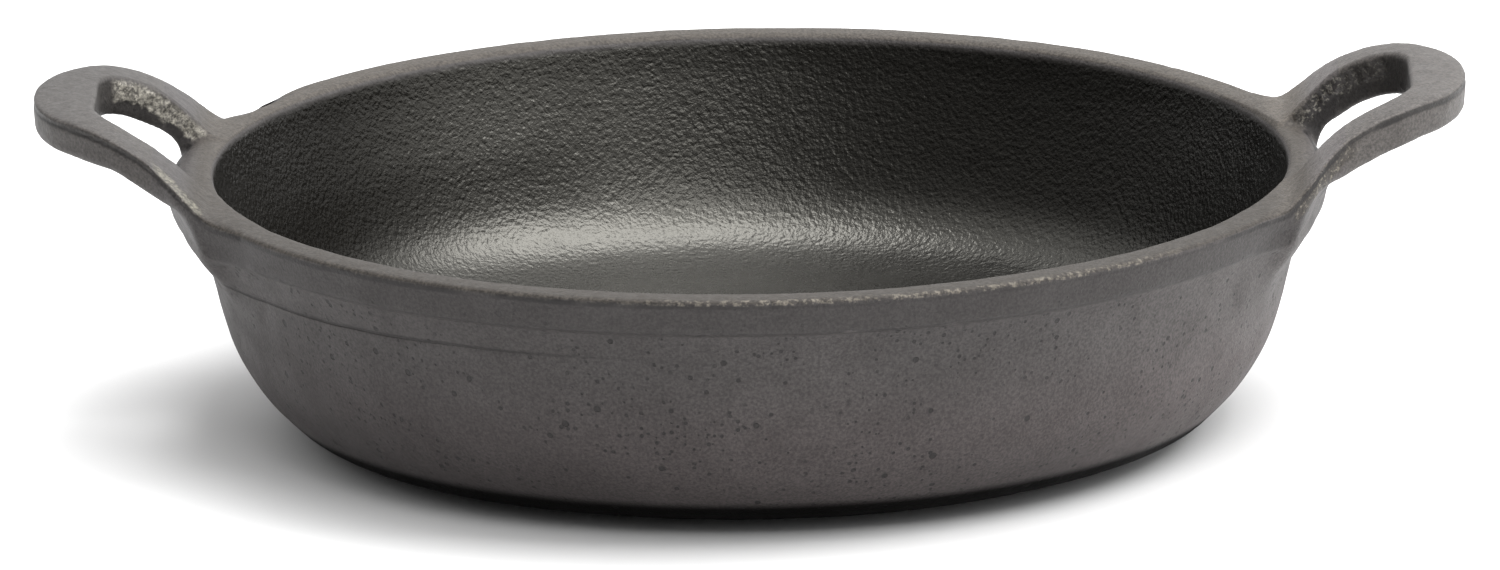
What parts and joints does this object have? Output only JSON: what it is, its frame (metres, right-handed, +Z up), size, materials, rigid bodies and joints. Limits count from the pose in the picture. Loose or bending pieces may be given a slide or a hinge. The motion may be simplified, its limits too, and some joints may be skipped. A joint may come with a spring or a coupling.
{
  "type": "cast iron skillet",
  "caption": "Shallow round cast iron skillet with a flat base, flared wall, thick banded rim and an upswept open loop handle cast on at each side.",
  "frame": {"origin": "centre of the flat base, on the resting plane", "axes": "+Z up out of the cooking side, +X along the line through both handles, +Y across them"},
  "size_m": [0.2488, 0.2, 0.0593],
  "materials": {
    "pan_iron": "sand-cast iron, matte warm grey outside with fine grain and small pits, near-black satin orange-peel cooking surface",
    "handle_iron": "sand-cast iron, matte mid-grey, fettled edges and a rough broken skin inside the grip slot"
  },
  "bodies": {
    "root": {"pan_body": "pan_iron", "handle_left": "handle_iron", "handle_right": "handle_iron"}
  },
  "joints": []
}
